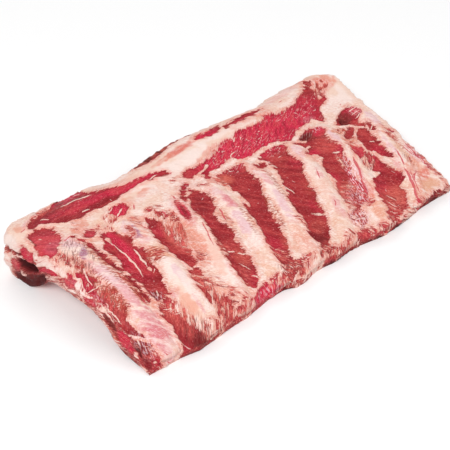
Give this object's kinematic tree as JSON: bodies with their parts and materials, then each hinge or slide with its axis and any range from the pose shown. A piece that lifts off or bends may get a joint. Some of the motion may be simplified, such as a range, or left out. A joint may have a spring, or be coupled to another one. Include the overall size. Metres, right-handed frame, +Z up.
{
  "type": "rack of ribs",
  "caption": "Raw rack of beef back ribs, a low arch of meat and fat with flat rib bones along its outer side and a thick chine edge.",
  "frame": {"origin": "on the surface the rack lies on, under the middle of its box", "axes": "+X along the rack, from rib 1 to rib 8; +Y across it, from the cut rib ends to the thick chine edge; +Z up, towards the outer side of the arch"},
  "size_m": [0.4713, 0.2413, 0.0593],
  "materials": {
    "beef": "moist raw beef and fat, satin",
    "bone": "moist rib bone under its thin skin, satin"
  },
  "bodies": {
    "root": {"meat_slab": "beef", "rib_1": "bone", "rib_2": "bone", "rib_3": "bone", "rib_4": "bone", "rib_5": "bone", "rib_6": "bone", "rib_7": "bone", "rib_8": "bone"}
  },
  "joints": []
}
